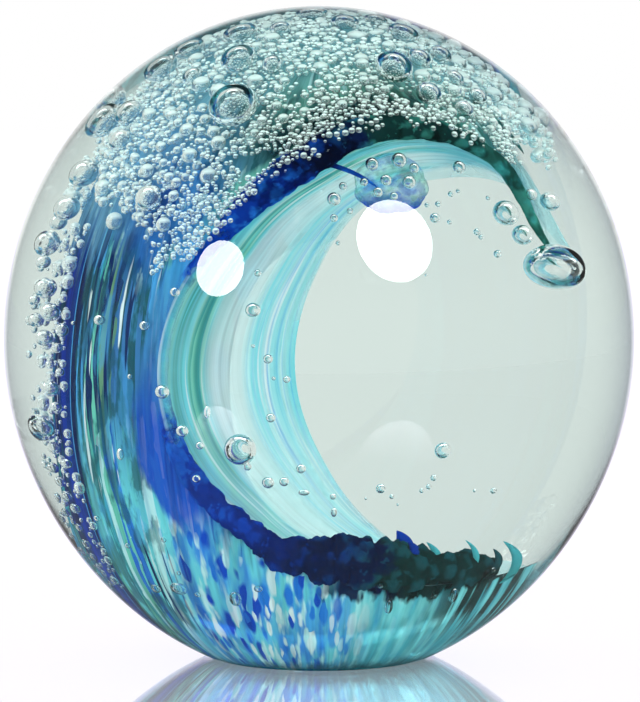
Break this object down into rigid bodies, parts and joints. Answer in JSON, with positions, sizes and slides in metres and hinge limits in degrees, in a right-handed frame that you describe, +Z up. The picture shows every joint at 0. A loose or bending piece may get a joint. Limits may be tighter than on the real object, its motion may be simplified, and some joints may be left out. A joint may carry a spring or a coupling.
{
  "type": "glass wave paperweight",
  "caption": "Clear glass ball with a flat polished foot, holding a curling wave of blue and green glass under a crest of bubbles.",
  "frame": {"origin": "centre of the polished foot, on the surface that it rests on", "axes": "+Z up the ball's own axis, -Y towards the viewer, who looks into the curl, and +X to the viewer's right, where the curl is open"},
  "size_m": [0.08, 0.08, 0.0828],
  "materials": {
    "back_trail_aqua": "aqua glass",
    "back_trail_azure": "azure glass",
    "back_trail_blue": "blue glass",
    "back_trail_cobalt": "cobalt-blue glass",
    "back_trail_ice": "ice-blue glass",
    "back_trail_jade": "blue-green glass",
    "back_trail_navy": "navy glass",
    "back_trail_shore": "blue glass",
    "back_trail_sky": "sky-blue glass",
    "back_trail_teal": "teal glass",
    "clear_casing": "polished, clear with a slight green cast",
    "crest_cap_blue": "streaked blue glass",
    "crest_cap_jade": "streaked blue-green glass",
    "crest_cobalt_band": "dark blue frit",
    "crest_emerald_band": "dark green frit",
    "crest_froth": "clear glass full of small bubbles",
    "face_trail_aqua": "aqua glass",
    "face_trail_ice": "ice-blue glass",
    "face_trail_jade": "streaked blue-green glass",
    "face_trail_pale": "pale aqua glass",
    "face_trail_teal": "streaked teal glass",
    "face_trail_turquoise": "turquoise glass",
    "inner_gather": "clear, with a few large bubbles",
    "left_rim_trail": "blue frit",
    "lip_drip": "blue glass with bubbles",
    "sea_base": "blue and aqua glass, streaked towards the foot",
    "trough_cobalt_ridge": "dark blue frit",
    "trough_emerald_ridge": "dark green frit",
    "wave_core": "pale turquoise glass"
  },
  "bodies": {
    "root": {"back_trail_aqua": "back_trail_aqua", "back_trail_azure": "back_trail_azure", "back_trail_blue": "back_trail_blue", "back_trail_cobalt": "back_trail_cobalt", "back_trail_ice": "back_trail_ice", "back_trail_jade": "back_trail_jade", "back_trail_navy": "back_trail_navy", "back_trail_shore": "back_trail_shore", "back_trail_sky": "back_trail_sky", "back_trail_teal": "back_trail_teal", "clear_casing": "clear_casing", "crest_cap_blue": "crest_cap_blue", "crest_cap_jade": "crest_cap_jade", "crest_cobalt_band": "crest_cobalt_band", "crest_emerald_band": "crest_emerald_band", "crest_froth": "crest_froth", "face_trail_aqua": "face_trail_aqua", "face_trail_ice": "face_trail_ice", "face_trail_jade": "face_trail_jade", "face_trail_pale": "face_trail_pale", "face_trail_teal": "face_trail_teal", "face_trail_turquoise": "face_trail_turquoise", "inner_gather": "inner_gather", "left_rim_trail": "left_rim_trail", "lip_drip": "lip_drip", "sea_base": "sea_base", "trough_cobalt_ridge": "trough_cobalt_ridge", "trough_emerald_ridge": "trough_emerald_ridge", "wave_core": "wave_core"}
  },
  "joints": []
}
